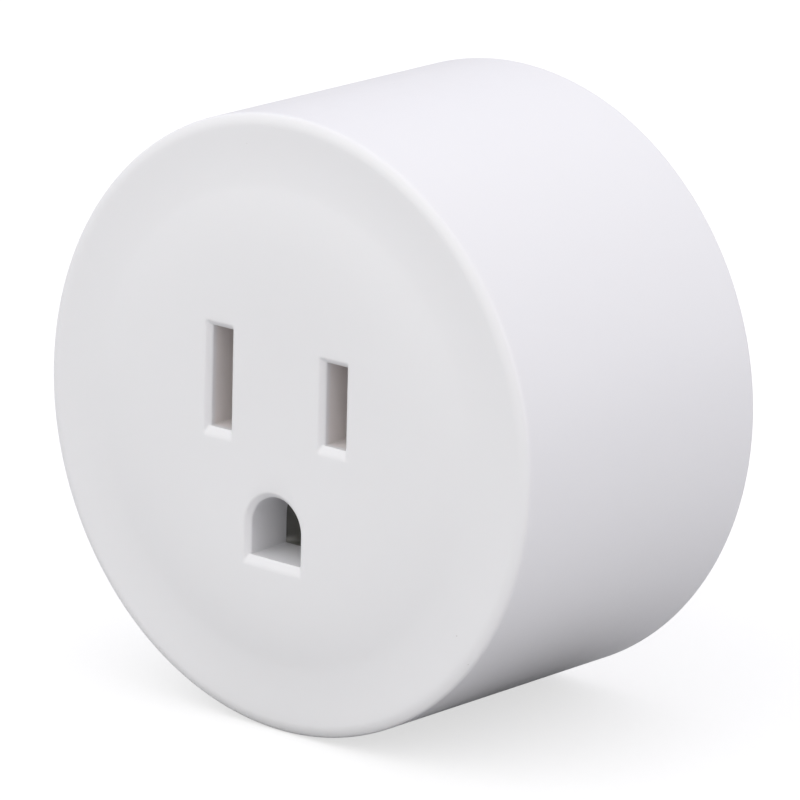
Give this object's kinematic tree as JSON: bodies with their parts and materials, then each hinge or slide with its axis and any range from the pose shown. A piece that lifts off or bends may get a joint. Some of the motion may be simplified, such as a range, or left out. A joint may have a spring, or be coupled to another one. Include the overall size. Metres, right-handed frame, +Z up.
{
  "type": "smart plug",
  "caption": "Round smart plug: a short cylinder with a domed grounded outlet in front, plug blades behind, a side button with status light, and a power board with relay inside.",
  "frame": {"origin": "centre of the rear cover's flat wall face", "axes": "+Y out of the wall face along the blades into the wall outlet, -Y out of the outlet face, +Z up with the ground pin below, +X to the right seen from the front"},
  "size_m": [0.0537, 0.0518, 0.0532],
  "materials": {
    "white_plastic": "satin moulded, very fine texture",
    "button_plastic": "satin moulded",
    "clear_plastic": "frosted translucent",
    "insulator_plastic": "flame-retardant, matte",
    "black_plastic": "moulded",
    "relay_plastic": "gloss",
    "bobbin_plastic": "moulded",
    "circuit_board": "solder mask",
    "nickel_brass": "nickel plated",
    "contact_brass": "bare, drawn",
    "copper_wire": "enamelled winding",
    "soft_iron": "plated",
    "zinc_steel": "zinc plated",
    "capacitor_sleeve": "shrink sleeve",
    "blue_coating": "dipped coating",
    "beige_coating": "cement coating"
  },
  "bodies": {
    "plug_body": {"front_housing": "white_plastic", "rear_cover": "white_plastic", "light_pipe": "clear_plastic", "status_led": "clear_plastic", "contact_carrier": "insulator_plastic", "contact_retainer": "insulator_plastic", "neutral_blade": "nickel_brass", "line_blade": "nickel_brass", "ground_pin": "nickel_brass", "neutral_contact": "contact_brass", "line_contact": "contact_brass", "ground_contact": "contact_brass", "main_board": "circuit_board", "radio_board": "circuit_board", "radio_shield": "zinc_steel", "board_screw_left": "zinc_steel", "board_screw_right": "zinc_steel", "board_screw_bottom": "zinc_steel", "relay_base": "black_plastic", "relay_cover": "relay_plastic", "relay_bobbin": "bobbin_plastic", "relay_coil": "copper_wire", "relay_core": "soft_iron", "relay_yoke": "soft_iron", "relay_fixed_contact": "contact_brass", "bulk_capacitor": "capacitor_sleeve", "filter_capacitor": "capacitor_sleeve", "output_capacitor": "capacitor_sleeve", "filter_choke": "black_plastic", "surge_varistor": "blue_coating", "fuse_resistor": "beige_coating", "bridge_rectifier": "black_plastic", "supply_chip": "black_plastic", "voltage_regulator": "black_plastic", "relay_driver": "black_plastic", "switch_body": "black_plastic"},
    "button": {"button_cap": "button_plastic", "switch_plunger": "black_plastic"},
    "relay_clapper": {"relay_armature": "soft_iron", "relay_moving_contact": "contact_brass"}
  },
  "joints": [
    {"name": "button_press", "type": "slide", "parent": "plug_body", "child": "button", "axis": [1, 0, 0], "range_m": [0, 0.0003], "stiffness_N_per_m": 2000, "springref_m": -0.0002},
    {"name": "relay_swing", "type": "hinge", "parent": "plug_body", "child": "relay_clapper", "pos_m": [-0.0077, -0.0218, 0.0157], "axis": [0, 0, 1], "range_deg": [0, 3], "stiffness_Nm_per_rad": 0.02, "springref_deg": -5.73}
  ]
}
